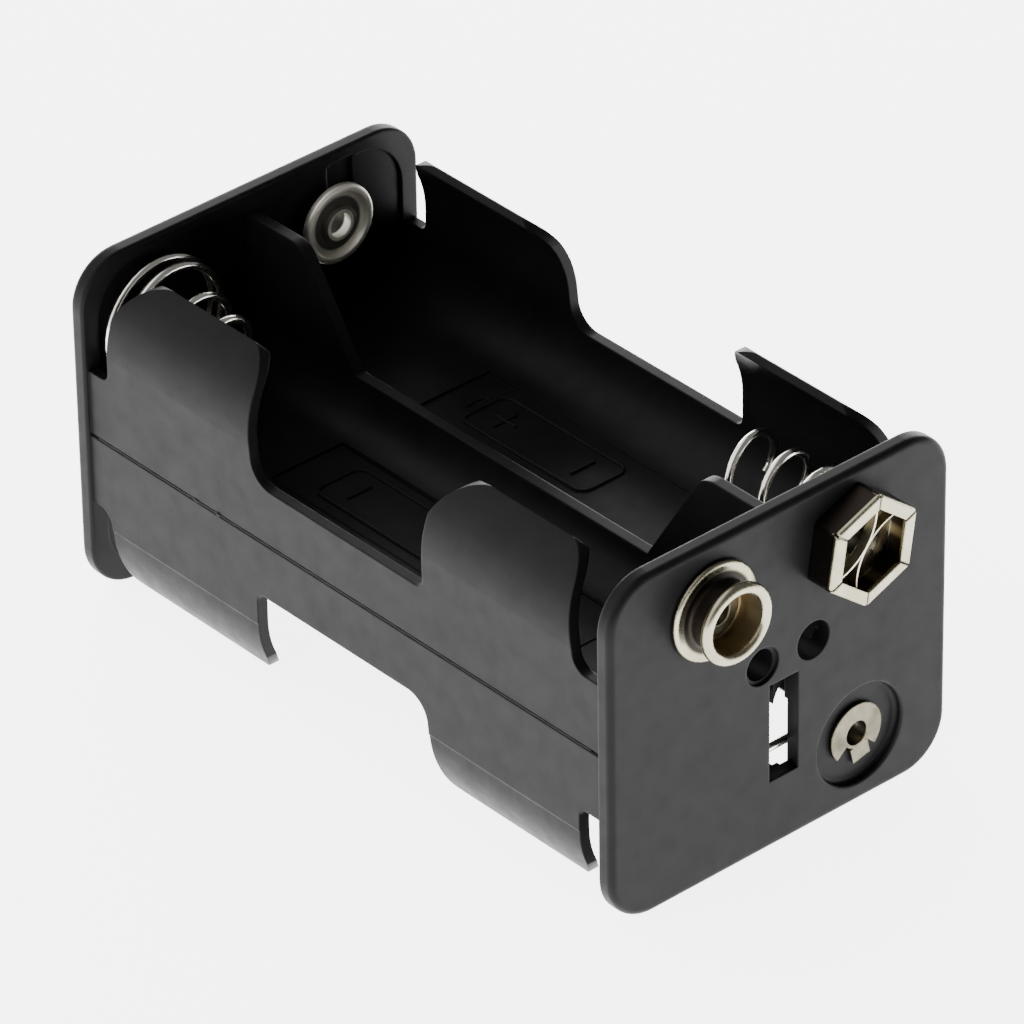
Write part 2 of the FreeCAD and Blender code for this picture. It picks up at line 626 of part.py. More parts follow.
def cut_far_plate(body):
    """Recesses, barrel holes, lead-in groove and tail notches at the far plate."""
    outside = negated(HALF_LENGTH)
    contacts = [(CONTACT_OFFSET, "sizes.contact_lift"),
                (negated(CONTACT_OFFSET), "(-sizes.contact_lift)")]
    holes = new_sketch(body, "FarBarrelHoleCircles", "YZ_Plane", f"({outside} - sizes.overshoot)")
    for u, v in contacts:
        circle(holes, u, v, BARREL_HOLE)
    pocket(body, "FarBarrelHoles", holes, "(sizes.plate_thickness + sizes.overshoot)", backward=True)
    recess(body, "Far", outside, contacts, True)

    groove = new_sketch(body, "LeadInOutline", "YZ_Plane", negated(INNER_FACE))
    centre = f"({CONTACT_OFFSET} + sizes.groove_offset)"
    rectangle(groove, f"({centre} - sizes.groove_width / 2)", "(sizes.contact_lift + sizes.groove_foot)",
              f"({centre} + sizes.groove_width / 2)", "(sizes.seat_top + sizes.groove_depth)")
    pocket(body, "LeadInGroove", groove, "(sizes.seat_depth + sizes.groove_depth)")

    notches = new_sketch(body, "TailNotchOutlines", "YZ_Plane", negated(SEAT_FACE))
    for side in (-1, 1):
        inner = f"({side} * ({CONTACT_OFFSET} - {RING_RADIUS}))"
        rectangle(notches, f"({inner} - sizes.tail_notch / 2)", "(-sizes.tail_notch_reach)",
                  f"({inner} + sizes.tail_notch / 2)", "sizes.tail_notch_reach")
    pocket(body, "TailNotches", notches, "(sizes.tail_notch + sizes.seat_depth)", backward=True)


def recess(body, end_name, outer_face, centres, backward):
    """Round recesses with softened edges, over the clinched ends of contacts."""
    floor = new_sketch(body, f"{end_name}RecessCircles", "YZ_Plane", outer_face)
    for u, v in centres:
        circle(floor, u, v, "sizes.recess_radius")
    pocket(body, f"{end_name}Recesses", floor, "sizes.recess_depth", backward)
    face_x = abs(size(outer_face))
    floor_x = face_x - size("recess_depth")
    radius = size("recess_radius")
    places = [FreeCAD.Vector(0, size(u), size(v)) for u, v in centres]

    def on_rim(edge, x):
        if not all(abs(abs(point.x) - x) < 1e-4 for point in edge.discretize(3)):
            return False
        start = edge.Vertexes[0].Point
        reaches = [math.hypot(start.y - place.y, start.z - place.z) for place in places]
        return start.x * size(outer_face) > 0 and min(abs(reach - radius) for reach in reaches) < 1e-3

    fillet(body, f"{end_name}RecessFloors", "sizes.recess_round", lambda edge: on_rim(edge, floor_x))
    fillet(body, f"{end_name}RecessLips", "sizes.recess_lip_round", lambda edge: on_rim(edge, face_x))


def contact_outline(sketch, barrel_end, under):
    """Half section of a contact eyelet; its flange is at under and its barrel ends at barrel_end."""
    sheet_t = "sizes.contact_sheet"
    rim = "sizes.contact_radius"
    top = f"({under} + {sheet_t})"
    bead_top = f"({top} + sizes.contact_bead)"
    dish_top = f"({top} - sizes.contact_dish / 2)"
    closed_outline(sketch, [
        ("sizes.barrel_bore", barrel_end),
        ("sizes.barrel_radius", barrel_end),
        ("sizes.barrel_radius", under),
        (rim, under),
        (rim, f"({bead_top} - {sheet_t})", sheet_t, 1),
        (f"({rim} - {sheet_t})", bead_top),
        (f"({rim} - 2 * {sheet_t})", bead_top),
        (f"({rim} - 3 * {sheet_t})", dish_top),
        ("sizes.contact_hub", dish_top),
        (f"(sizes.barrel_radius + {sheet_t})", bead_top),
        ("sizes.barrel_bore", bead_top),
    ])


def make_contact(name, x, y, z, rotation, clinch):
    """A contact eyelet. Its clinch is 'split', 'round', or 'stud' inside the stud's floor."""
    body = new_body("".join(word.capitalize() for word in name.split("_")), name)
    plate = "(sizes.plate_thickness - sizes.seat_depth)"
    if clinch == "stud":
        grip = f"(-{plate} - sizes.stud_floor - sizes.fit_gap)"
    else:
        grip = f"(-{plate} + sizes.recess_depth - sizes.fit_gap)"
    barrel_end = f"({grip} - sizes.clinch_sheet)"
    outline = new_sketch(body, "EyeletOutline", "XZ_Plane")
    contact_outline(outline, barrel_end, "sizes.fit_gap" if clinch == "stud" else FLANGE_FLOOR)
    revolve(body, "Eyelet", outline)

    flare = new_sketch(body, "ClinchOutline", "XZ_Plane")
    reach = "sizes.clinch_radius"
    if clinch == "stud":
        reach = "(sizes.stud_bore_radius - sizes.stud_clinch_gap)"
    rectangle(flare, "((sizes.barrel_bore + sizes.barrel_radius) / 2)", barrel_end, reach, grip)
    if clinch == "split":
        flare.AttachmentOffset = FreeCAD.Placement(
            FreeCAD.Vector(), FreeCAD.Rotation(FreeCAD.Vector(0, 1, 0), 1))
        flare.setExpression("AttachmentOffset.Rotation.Angle",
                            "(180 - sizes.clinch_start - sizes.clinch_sweep)")
        revolve(body, "Clinch", flare, "sizes.clinch_sweep")
        petal = new_sketch(body, "PetalOutline", "XY_Plane", barrel_end)
        side_u = "(-sizes.petal_width / 2)"
        rectangle(petal, side_u, "(-sizes.clinch_radius)", negated(side_u),
                  "(-(sizes.barrel_bore + sizes.barrel_radius) / 2)")
        petal.setExpression("AttachmentOffset.Rotation.Angle", "(-90 - sizes.petal_angle)")
        pad(body, "Petal", petal, "sizes.clinch_sheet")
    else:
        revolve(body, "Clinch", flare)
    place(body, x, y, z, rotation)
    return body


def make_stud():
    """Round stud: folded flange, waisted neck and an open rolled lip."""
    body = new_body("StudTerminal", "stud_terminal")
    bore = "sizes.stud_bore_radius"
    neck = "sizes.stud_neck_radius"
    lip = "sizes.stud_lip_radius"
    bead = f"(({lip} - {bore}) / 2)"
    flange = "sizes.stud_flange_height"
    top = "sizes.stud_height"
    outline = new_sketch(body, "StudOutline", "XZ_Plane")
    closed_outline(outline, [
        (BARREL_HOLE, "0"),
        (f"(sizes.stud_flange_radius - {flange} / 2)", "0", f"({flange} / 2)", 1),
        ("sizes.stud_flange_radius", f"({flange} / 2)", f"({flange} / 2)", 1),
        (f"(sizes.stud_flange_radius - {flange} / 2)", flange),
        (f"({neck} + {flange} / 2)", flange, f"({flange} / 2)", -1),
        (neck, f"({flange} * 1.5)"),
        (neck, f"({top} - 2 * {bead})"),
        (f"({lip} - {bead})", f"({top} - 2 * {bead})", bead, 1),
        (lip, f"({top} - {bead})", bead, 1),
        (f"({lip} - {bead})", top, bead, 1),
        (bore, f"({top} - {bead})"),
        (bore, "sizes.stud_floor"),
        (BARREL_HOLE, "sizes.stud_floor"),
    ])
    revolve(body, "Stud", outline)
    place(body, HALF_LENGTH, "(-sizes.snap_pitch / 2)", "sizes.snap_lift", FACING_PLUS_X)
    return body


def crown_corners(radius):
    """The six corners of the socket at a radius."""
    corners = []
    for number in range(6):
        angle = f"(sizes.crown_turn + {60 * number})"
        corners.append((f"({radius} * cos({angle}))", f"({radius} * sin({angle}))"))
    return corners


def make_socket():
    """Six-sided crown folded from sheet, with six lips turned in and slits at their corners."""
    body = new_body("SocketTerminal", "socket_terminal")
    wall_shift = "(sizes.crown_sheet / cos(30))"
    lip_shift = "(sizes.crown_lip / cos(30))"
    outside = new_sketch(body, "CrownOutline", "XY_Plane")
    closed_outline(outside, crown_corners("sizes.crown_radius"))
    pad(body, "Crown", outside, "sizes.crown_height")
    reach = size("crown_radius") - size("crown_edge_round")

    def upright_or_top(edge):
        first, last = edge.Vertexes[0].Point, edge.Vertexes[-1].Point
        return math.hypot(first.x, first.y) > reach and max(first.z, last.z) > 1e-6

    def upright(edge):
        first, last = edge.Vertexes[0].Point, edge.Vertexes[-1].Point
        return upright_or_top(edge) and abs(first.z - last.z) > 1e-6

    fillet(body, "UprightCorners", "sizes.crown_edge_round", upright)
    fillet(body, "TopEdge", "sizes.crown_top_round",
           lambda edge: min(vertex.Point.z for vertex in edge.Vertexes) > size("crown_height") - 1e-6)
    cavity = new_sketch(body, "CavityOutline", "XY_Plane", "sizes.crown_sheet")
    closed_outline(cavity, crown_corners(f"(sizes.crown_radius - {lip_shift})"))
    pocket(body, "Mouth", cavity, "sizes.crown_height", backward=True)
    room = new_sketch(body, "RoomOutline", "XY_Plane", "sizes.crown_sheet")
    closed_outline(room, crown_corners(f"(sizes.crown_radius - {wall_shift})"))
    pocket(body, "Room", room, "(sizes.crown_height - 2 * sizes.crown_sheet)", backward=True)
    slits = new_sketch(body, "SlitOutline", "XY_Plane", "sizes.crown_height")
    half = "(sizes.crown_slit / 2)"
    rectangle(slits, f"(sizes.crown_radius - {lip_shift} - sizes.overshoot)", negated(half),
              "(sizes.crown_radius + sizes.overshoot)", half)
    slits.setExpression("AttachmentOffset.Rotation.Angle", "sizes.crown_turn")
    one_slit = pocket(body, "Slit", slits, "sizes.crown_slit_depth")
    turned(body, "Slits", [one_slit], "Z_Axis", 6)
    hole = new_sketch(body, "RivetHole", "XY_Plane")
    circle(hole, "0", "0", BARREL_HOLE)
    pocket(body, "RivetHolePocket", hole, "sizes.crown_sheet", backward=True)
    place(body, HALF_LENGTH, "(sizes.snap_pitch / 2)", "sizes.snap_lift", FACING_PLUS_X)
    return body


def make_clip():
    """Two bowed leaves joined at their middles, which grip the mating stud inside the socket."""
    body = new_body("SocketClip", "socket_clip")
    outline = new_sketch(body, "LeafOutlines", "XY_Plane")
    bow = "sizes.clip_bow"
    reach = "(sizes.crown_radius * cos(30) - sizes.crown_sheet - sizes.fit_gap)"
    merge = "(sizes.clip_sheet / 4)"
    inner_u = f"({bow} - sqrt({bow}^2 - {reach}^2) - {merge})"
    outer_u = f"({inner_u} + sizes.clip_sheet)"
    outer_bow = f"({bow} - sizes.clip_sheet / 2)"
    crossing = f"sqrt({bow}^2 - ({bow} - {merge})^2)"
    closed_outline(outline, [
        (outer_u, negated(reach), outer_bow, -1),
        (outer_u, reach),
        (inner_u, reach, bow, 1),
        ("0", crossing, bow, 1),
        (negated(inner_u), reach),
        (negated(outer_u), reach, outer_bow, -1),
        (negated(outer_u), negated(reach)),
        (negated(inner_u), negated(reach), bow, 1),
        ("0", negated(crossing), bow, 1),
        (inner_u, negated(reach)),
    ])
    outline.setExpression("AttachmentOffset.Rotation.Angle", "(sizes.crown_turn - 60)")
    pad(body, "Leaves", outline, "sizes.clip_width")
    place(body, f"({HALF_LENGTH} + sizes.clip_lift)", "(sizes.snap_pitch / 2)", "sizes.snap_lift",
          FACING_PLUS_X)
    return body


def make_rivet():
    """Hollow rivet that holds the socket and the ring of the spring behind it."""
    body = new_body("SocketRivet", "socket_rivet")
    plate = "(sizes.plate_thickness - sizes.seat_depth)"
    under_head = f"(-{plate} - sizes.crown_sheet - sizes.fit_gap)"
    head_end = f"({under_head} - sizes.rivet_head_height)"
    flange_top = f"({FLANGE_FLOOR} + sizes.contact_sheet)"
    outline = new_sketch(body, "RivetOutline", "XZ_Plane")
    closed_outline(outline, [
        ("sizes.barrel_bore", head_end),
        ("sizes.rivet_head_radius", head_end),
        ("sizes.rivet_head_radius", under_head),
        ("sizes.barrel_radius", under_head),
        ("sizes.barrel_radius", FLANGE_FLOOR),
        ("sizes.clinch_radius", FLANGE_FLOOR),
        ("sizes.clinch_radius", flange_top),
        ("sizes.barrel_bore", flange_top),
    ])
    revolve(body, "Rivet", outline)
    place(body, SEAT_FACE, "(sizes.snap_pitch / 2)", "sizes.snap_lift", FACING_MINUS_X)
    return body


def blend_up(value, start, width):
    """A smooth ramp: about zero before start, then rising one for one."""
    shifted = value - start
    return 0.5 * (shifted + math.hypot(shifted, width))


def coil_points(first_angle, winding, closed_turns, shift, length, open_pitch):
    """Points along a conical coil from its base turn to its tip; the loop works out the turns."""
    wire = size("wire_diameter")
    low = wire / 2 + size("fit_gap")
    top = length - wire / 2
    tip = size("coil_tip_radius")
    base = size("coil_base_radius")
    close = size("close_pitch")
    narrowing = closed_turns + size("taper_turns")
    points = []
    step = 0
    while True:
        turns = step / SECTIONS_A_TURN
        height = low + close * turns
        opened = blend_up(turns, closed_turns, OPENING_TURNS)
        height += (open_pitch - close) * (opened - blend_up(0.0, closed_turns, OPENING_TURNS))
        if height > top:
            return points
        share = 1 / (1 + (turns / narrowing) ** TAPER_POWER)
        radius = tip + (base - tip) * share
        angle = first_angle + winding * 2 * math.pi * turns
        points.append(FreeCAD.Vector(shift.x + radius * math.cos(angle),
                                     shift.y + radius * math.sin(angle), height))
        step += 1


def spring_spine(ring, tail_angle, side, winding, closed_turns, shift, inside, length, pitch):
    """One bent wire: a ring at ring (from the coil's axis), a straight tail, then the coil.

    The tail runs along tail_angle from the coil to the ring, on the ring's side (+1 is left of
    that direction), and meets the base turn from outside, or from inside when inside is true."""
    wire = size("wire_diameter")
    ring_radius = size(RING_RADIUS)
    bend = size("tail_bend_radius")
    base = size("coil_base_radius")
    low = wire / 2 + size("fit_gap")
    turn_back = FreeCAD.Rotation(FreeCAD.Vector(0, 0, 1), tail_angle)
    target = turn_back.inverted().multVec(ring - shift)
    line_v = target.y + side * ring_radius
    if inside:
        reach = base - bend
        bend_v = line_v - winding * bend
        bend_u = -math.sqrt(reach ** 2 - bend_v ** 2)
    else:
        reach = base + bend
        bend_v = line_v + winding * bend
        bend_u = math.sqrt(reach ** 2 - bend_v ** 2)
    base_angle = math.atan2(bend_v, bend_u)

    def put(u, v):
        return turn_back.multVec(FreeCAD.Vector(u, v, 0)) + shift + FreeCAD.Vector(0, 0, low)

    def on_circle(centre, radius, angle):
        return put(centre[0] + radius * math.cos(angle), centre[1] + radius * math.sin(angle))

    ring_end = side * math.pi / 2
    open_end = ring_end - side * math.radians(RING_SWEEP)
    ring_centre = (target.x, target.y)
    ring_arc = Part.Arc(on_circle(ring_centre, ring_radius, open_end),
                        on_circle(ring_centre, ring_radius, (open_end + ring_end) / 2),
                        on_circle(ring_centre, ring_radius, ring_end))
    line_start = put(target.x, line_v)
    line_end = put(bend_u, line_v)
    bend_centre = (bend_u, bend_v)
    line_direction = math.atan2(line_v - bend_v, 0.0)
    toward_base = base_angle + (0 if inside else math.pi)
    half_way = line_direction + math.remainder(toward_base - line_direction, 2 * math.pi) / 2
    bend_arc = Part.Arc(line_end, on_circle(bend_centre, bend, half_way),
                        on_circle(bend_centre, bend, toward_base))
    first_angle = base_angle + math.radians(tail_angle)
    points = coil_points(first_angle, winding, closed_turns, shift, length, pitch)
    coil = Part.BSplineCurve()
    start_tangent = FreeCAD.Vector(-math.sin(first_angle), math.cos(first_angle), 0) * winding
    end_tangent = (points[-1] - points[-2]).normalize()
    coil.interpolate(Points=points, InitialTangent=start_tangent, FinalTangent=end_tangent)
    return [(ring_arc, SECTIONS_A_RING), (Part.LineSegment(line_start, line_end), 1),
            (bend_arc, SECTIONS_A_BEND), (coil, len(points) - 1)]


def wire_section(curve, share, diameter):
    """A circle across the wire's path."""
    parameter = curve.FirstParameter + share * (curve.LastParameter - curve.FirstParameter)
    ahead = curve.tangent(parameter)[0]
    side = ahead.cross(FreeCAD.Vector(0, 0, 1)).normalize()
    ring = Part.Circle(FreeCAD.Vector(), FreeCAD.Vector(0, 0, 1), diameter / 2)
    section = Part.Wire([ring.toShape()])
    turned_across = FreeCAD.Rotation(side, ahead.cross(side), ahead, "ZXY")
    section.Placement = FreeCAD.Placement(curve.value(parameter), turned_across)
    return section


def wire_solid(stretches, diameter):
    """A round wire lofted through circles that stand across the stretches of its path."""
    faces = []
    for curve, count in stretches:
        sections = [wire_section(curve, step / count, diameter) for step in range(count + 1)]
        for first in range(0, count, SECTIONS_A_FACE):
            run = sections[first:first + SECTIONS_A_FACE + 1]
            faces += Part.makeLoft(run, False, True).Faces
    for curve, share in ((stretches[0][0], 0), (stretches[-1][0], 1)):
        faces.append(Part.Face(wire_section(curve, share, diameter)))
    shell = Part.makeShell(faces)
    shell.sewShape()
    solid = Part.makeSolid(shell.Shells[0])
    if solid.Volume < 0:
        solid.reverse()
    return solid


def make_spring(name, y, z, near, ring_y, ring_z, tail_angle, side, winding, inside=False):
    """A spring of bent wire, seated on an end plate, with the ring of its tail under an eyelet."""
    across = -1 if near else 1
    turns, length = "sizes.long_base_turns", "sizes.spring_length"
    pitch = "sizes.coil_pitch"
    shift = FreeCAD.Vector(math.copysign(1, size(y)) * size(COIL_SHIFT),
                           -math.copysign(1, size(z)) * size("base_shift_in"), 0)
    if near:
        turns, length = "sizes.short_base_turns", "sizes.short_spring_length"
        pitch = "sizes.short_coil_pitch"
        shift = FreeCAD.Vector()
    ring = FreeCAD.Vector(across * (size(ring_y) - size(y)), size(ring_z) - size(z), 0)
    stretches = spring_spine(ring, tail_angle, side, winding, size(turns), shift, inside,
                             size(length), size(pitch))
    feature = doc.addObject("Part::Feature", "".join(word.capitalize() for word in name.split("_")))
    feature.Label = name
    feature.Shape = wire_solid(stretches, size("wire_diameter"))
    face = SEAT_FACE if near else negated(SEAT_FACE)
    place(feature, face, y, z, FACING_MINUS_X if near else FACING_PLUS_X)
    return feature


doc.recompute()
make_housing()
make_stud()
make_socket()
make_clip()
make_rivet()
make_contact("upper_rear_contact", negated(SEAT_FACE), CONTACT_OFFSET, "sizes.contact_lift",
             FACING_PLUS_X, "round")
make_contact("lower_front_contact", negated(SEAT_FACE), negated(CONTACT_OFFSET),
             "(-sizes.contact_lift)", FACING_PLUS_X, "round")
make_contact("lower_rear_contact", SEAT_FACE, CONTACT_OFFSET, "(-sizes.contact_lift)",
             FACING_MINUS_X, "split")
make_contact("upper_front_contact", SEAT_FACE, "(-sizes.snap_pitch / 2)", "sizes.snap_lift",
             FACING_MINUS_X, "stud")
make_spring("upper_rear_spring", CELL_OFFSET, "sizes.cell_lift", True,
            "(sizes.snap_pitch / 2)", "sizes.snap_lift", 150, 1, 1, inside=True)
make_spring("lower_front_spring", negated(CELL_OFFSET), "(-sizes.cell_lift)", True,
            CONTACT_OFFSET, "(-sizes.contact_lift)", 180, -1, -1)
make_spring("upper_front_spring", negated(CELL_OFFSET), "sizes.cell_lift", False,
            negated(CONTACT_OFFSET), "(-sizes.contact_lift)", -90, 1, 1)
make_spring("lower_rear_spring", CELL_OFFSET, "(-sizes.cell_lift)", False,
            CONTACT_OFFSET, "sizes.contact_lift", 90, 1, 1)
doc.recompute()


def check_and_write():
    """Stops at any failed object, then writes one file for each sub-part."""
    for thing in doc.Objects:
        if "Invalid" in thing.State or "Error" in thing.State:
            raise RuntimeError(f"{thing.Name} failed: {thing.State}")
    os.makedirs("parts", exist_ok=True)
    kinds = ("PartDesign::Body", "Part::Feature")
    sub_parts = [thing for thing in doc.Objects if thing.TypeId in kinds]
    for sub_part in sub_parts:
        shape = sub_part.Shape
        if shape.isNull() or not shape.isValid():
            raise RuntimeError(f"{sub_part.Label} has no sound shape")
        shape.exportStep(f"parts/{sub_part.Label}.step")
        box = shape.optimalBoundingBox(False)
        print(sub_part.Label, len(shape.Solids), round(shape.Volume, 3),
              [round(value, 2) for value in (box.XMin, box.YMin, box.ZMin, box.XMax, box.YMax, box.ZMax)])


check_and_write()
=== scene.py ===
import math

import bmesh
import bpy
from mathutils import Matrix, Vector


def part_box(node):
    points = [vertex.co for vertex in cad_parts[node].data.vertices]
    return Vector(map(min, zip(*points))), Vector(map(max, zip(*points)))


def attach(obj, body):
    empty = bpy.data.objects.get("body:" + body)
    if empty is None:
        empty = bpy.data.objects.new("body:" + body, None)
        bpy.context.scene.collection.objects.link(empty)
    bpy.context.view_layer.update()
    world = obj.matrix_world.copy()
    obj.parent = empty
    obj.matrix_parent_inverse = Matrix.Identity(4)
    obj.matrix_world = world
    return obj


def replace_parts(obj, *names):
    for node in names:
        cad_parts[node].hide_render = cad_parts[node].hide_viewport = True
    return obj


# Looks of a four-cell holder with snap terminals. Metres; +X points to the terminals, +Z is up.

MM = 0.001
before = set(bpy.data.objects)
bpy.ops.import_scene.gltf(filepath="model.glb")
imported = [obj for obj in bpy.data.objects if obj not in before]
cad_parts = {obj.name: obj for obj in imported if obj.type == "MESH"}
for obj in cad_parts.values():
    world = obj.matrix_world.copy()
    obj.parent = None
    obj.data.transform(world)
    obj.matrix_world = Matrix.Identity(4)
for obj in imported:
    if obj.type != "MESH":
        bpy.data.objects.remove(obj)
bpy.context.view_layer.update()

# Camera fitted to the photograph
CAMERA_PLACE = (379.63 * MM, -330.88 * MM, 349.21 * MM)
CAMERA_TURN = (56.3452, 0.7745, 48.4407)
CAMERA_LENS = 305.24
CAMERA_SHIFT = (-0.00178, 0.00144)
SENSOR_WIDTH = 36
CAMERA_REACH = 5

# Studio light and floor
FLOOR_GLOW = 5.0
FLOOR_SIZE = 1.2
FLOOR_SINK = 0.02
FLOOR_TONE = 0.93
HORIZON_GLOW = 0.35
OVERHEAD_GLOW = 0.2
HORIZON_RAMP = (-0.3, 0.0)
SOFT_WALL = (-0.61, -0.61, 0.5)
SOFT_WALL_GLOW = 2.0
SOFT_WALL_RAMP = (0.35, 0.75)
BACKDROP_PLACE = (-0.6, 0.52, 0.2)
BACKDROP_AIM = (0, 0, 0.02)
BACKDROP_SIZE = (0.9, 0.3)
BACKDROP_POWER = 10

# Sizes shared with the solids, in millimetres from the holder's middle
MIDDLE_X = -1.38
MIDDLE_Z = 13.8
SEAT_FACE = 27.2
HALF_LENGTH = 28.3
CELL_OFFSET = 7.5
CELL_LIFT = 7.9
CONTACT_OFFSET = 7.4
CONTACT_LIFT = 8.3
SNAP_OFFSET = 6.35
SNAP_LIFT = 8.53
FLOOR_TOP = 0.65
PANEL_FLOOR = 0.53
PANEL_START = -13.2
PANEL_END = 17.0
PANEL_INNER = 3.45
PANEL_OUTER = 10.2

# Spring wire, its ring and tail
FIT_GAP = 0.08
WIRE = 0.62
RING_RADIUS = 1.2 + FIT_GAP + WIRE / 2
RING_SWEEP = 290
RING_STEPS = 28
TAIL_BEND_RADIUS = 1.0
BEND_STEPS = 10

# Conical coils: free length, pitch of the open turns, closed turns, narrowing turns
NEAR_COIL = (11.5, 3.4, 0.62, 0.3)
FAR_COIL = (8.1, 3.0, 1.4, 0.6)
FAR_COIL_OUT = 1.5
FAR_COIL_IN = 0.9
COIL_BASE_RADIUS = 4.9
COIL_TIP_RADIUS = 2.9
CLOSE_PITCH = 0.95
TAPER_POWER = 6
OPENING_TURNS = 0.4
COIL_POINTS_A_TURN = 40

# Plain marks on the bays' floors, rims of the sunk panels and flash on the parting line
MARK_OFFSET = 6.8
MARK_MIDDLE = -3.5
MARK_HALF_LENGTH = 6.5
MARK_HALF_WIDTH = 2.2
MARK_CORNER = 0.9
MARK_LIFT = 0.02
MARK_RIDGE = 0.13
NUB_LENGTH = 0.9
NUB_HALF_WIDTH = 0.9
SIGN_INSET = 2.4
SIGN_HALF = 1.1
CORNER_STEPS = 6
PANEL_RIM = 0.07
FLASH_RIDGE = 0.13
FLASH_OUT = 15.16
FLASH_START = -26.0
FLASH_STEP = 0.2
FLASH_STEPS = 260
FLASH_WANDER = 0.03
FLASH_WAVES = (3.1, 0.7)
FLASH_BEADS = ((-15.3, 1.7), (-12.9, 1.9))
BEAD_REACH = 0.6

# Finishes
PLASTIC_DARK = (0.0045, 0.0045, 0.0047)
PLASTIC_PALE = (0.0068, 0.0068, 0.0071)
PLASTIC_SPECULAR = 0.07
PLASTIC_ROUNDING = 0.18
GRAIN_HEIGHT = 0.02
# Painted shade under the terminals' lips: the stud's neck and the socket's outer walls
UNDER_LIP_PAINTED_SHADE = (0.020, 0.016, 0.013)
# Brown-gold tone inside the bores of the stud and the socket
BORE_BROWN_GOLD = (0.30, 0.23, 0.13)
# Darker tone on the eyelet more than about 1.5 mm behind its face
CLINCH_DARK_TONE = (0.24, 0.22, 0.165)
# Painted shade in the eyelet's dish, between its bright rim and its hole
DISH_PAINTED_SHADE = (0.16, 0.15, 0.13)
# Painted shade inside the eyelet's hole
HOLE_PAINTED_SHADE = (0.02, 0.018, 0.014)


def socket_in(group, name, kind, default=None):
    """One named input of a node group."""
    socket = group.interface.new_socket(name=name, in_out="INPUT", socket_type=kind)
    if default is not None:
        socket.default_value = default


def make_speckle_group():
    """Fine mottling of a moulded or plated surface, for colour, roughness and bump."""
    group = bpy.data.node_groups.new("speckle", "ShaderNodeTree")
    socket_in(group, "Scale", "NodeSocketFloat", 900.0)
    socket_in(group, "Low", "NodeSocketFloat", 0.3)
    socket_in(group, "High", "NodeSocketFloat", 0.5)
    group.interface.new_socket(name="Value", in_out="OUTPUT", socket_type="NodeSocketFloat")
    entry = group.nodes.new("NodeGroupInput")
    leave = group.nodes.new("NodeGroupOutput")
    place = group.nodes.new("ShaderNodeTexCoord")
    noise = group.nodes.new("ShaderNodeTexNoise")
    spread = group.nodes.new("ShaderNodeMapRange")
    noise.inputs["Detail"].default_value = 4.0
    noise.inputs["Roughness"].default_value = 0.6
    spread.inputs["From Min"].default_value = 0.3
    spread.inputs["From Max"].default_value = 0.7
    group.links.new(place.outputs["Object"], noise.inputs["Vector"])
    group.links.new(entry.outputs["Scale"], noise.inputs["Scale"])
    group.links.new(noise.outputs["Fac"], spread.inputs["Value"])
    group.links.new(entry.outputs["Low"], spread.inputs["To Min"])
    group.links.new(entry.outputs["High"], spread.inputs["To Max"])
    group.links.new(spread.outputs["Result"], leave.inputs["Value"])
    return group


def add_step(group, value, low, high, falling=False):
    """A soft step between two levels inside a group, up or down."""
    ramp = group.nodes.new("ShaderNodeMapRange")
    ramp.interpolation_type = "SMOOTHSTEP"
    group.links.new(value, ramp.inputs["Value"])
    group.links.new(low, ramp.inputs["From Min"])
    group.links.new(high, ramp.inputs["From Max"])
    if falling:
        ramp.inputs["To Min"].default_value = 1.0
        ramp.inputs["To Max"].default_value = 0.0
    return ramp.outputs["Result"]


def add_product(group, first, second):
    """Two masks multiplied."""
    product = group.nodes.new("ShaderNodeMath")
    product.operation = "MULTIPLY"
    group.links.new(first, product.inputs[0])
    group.links.new(second, product.inputs[1])
    return product.outputs["Value"]


def make_zone_group():
    """A zone about an axis along X: beyond one radius, within another, and below a height."""
    group = bpy.data.node_groups.new("zone", "ShaderNodeTree")
    socket_in(group, "Axis", "NodeSocketVector")
    for name in ("Inner", "Inner Full", "Outer Full", "Outer", "Top Full", "Top"):
        socket_in(group, name, "NodeSocketFloat", 0.0)
    group.interface.new_socket(name="Mask", in_out="OUTPUT", socket_type="NodeSocketFloat")
    entry = group.nodes.new("NodeGroupInput")
    leave = group.nodes.new("NodeGroupOutput")
    place = group.nodes.new("ShaderNodeTexCoord")
    shift = group.nodes.new("ShaderNodeVectorMath")
    shift.operation = "SUBTRACT"
    flat = group.nodes.new("ShaderNodeVectorMath")
    flat.operation = "MULTIPLY"
    flat.inputs[1].default_value = (0, 1, 1)
    reach = group.nodes.new("ShaderNodeVectorMath")
    reach.operation = "LENGTH"
    height = group.nodes.new("ShaderNodeSeparateXYZ")
    group.links.new(place.outputs["Object"], shift.inputs[0])
    group.links.new(entry.outputs["Axis"], shift.inputs[1])
    group.links.new(shift.outputs["Vector"], flat.inputs[0])
    group.links.new(flat.outputs["Vector"], reach.inputs[0])
    group.links.new(shift.outputs["Vector"], height.inputs["Vector"])
    radius = reach.outputs["Value"]
    level = height.outputs["X"]
    inside = add_step(group, radius, entry.outputs["Inner"], entry.outputs["Inner Full"])
    outside = add_step(group, radius, entry.outputs["Outer Full"], entry.outputs["Outer"], falling=True)
    below = add_step(group, level, entry.outputs["Top Full"], entry.outputs["Top"], falling=True)
    mask = add_product(group, add_product(group, inside, outside), below)
    group.links.new(mask, leave.inputs["Mask"])
    return group


SPECKLE = make_speckle_group()
ZONE = make_zone_group()


def from_middle(x, y, z):
    """A place given from the holder's middle in millimetres, in metres of the frame."""
    return Vector(((x + MIDDLE_X) * MM, y * MM, (z + MIDDLE_Z) * MM))


def new_material(name):
    """A material with a Principled shader, and its node tree and shader."""
    material = bpy.data.materials.new(name)
    material.use_nodes = True
    tree = material.node_tree
    return material, tree, tree.nodes["Principled BSDF"]


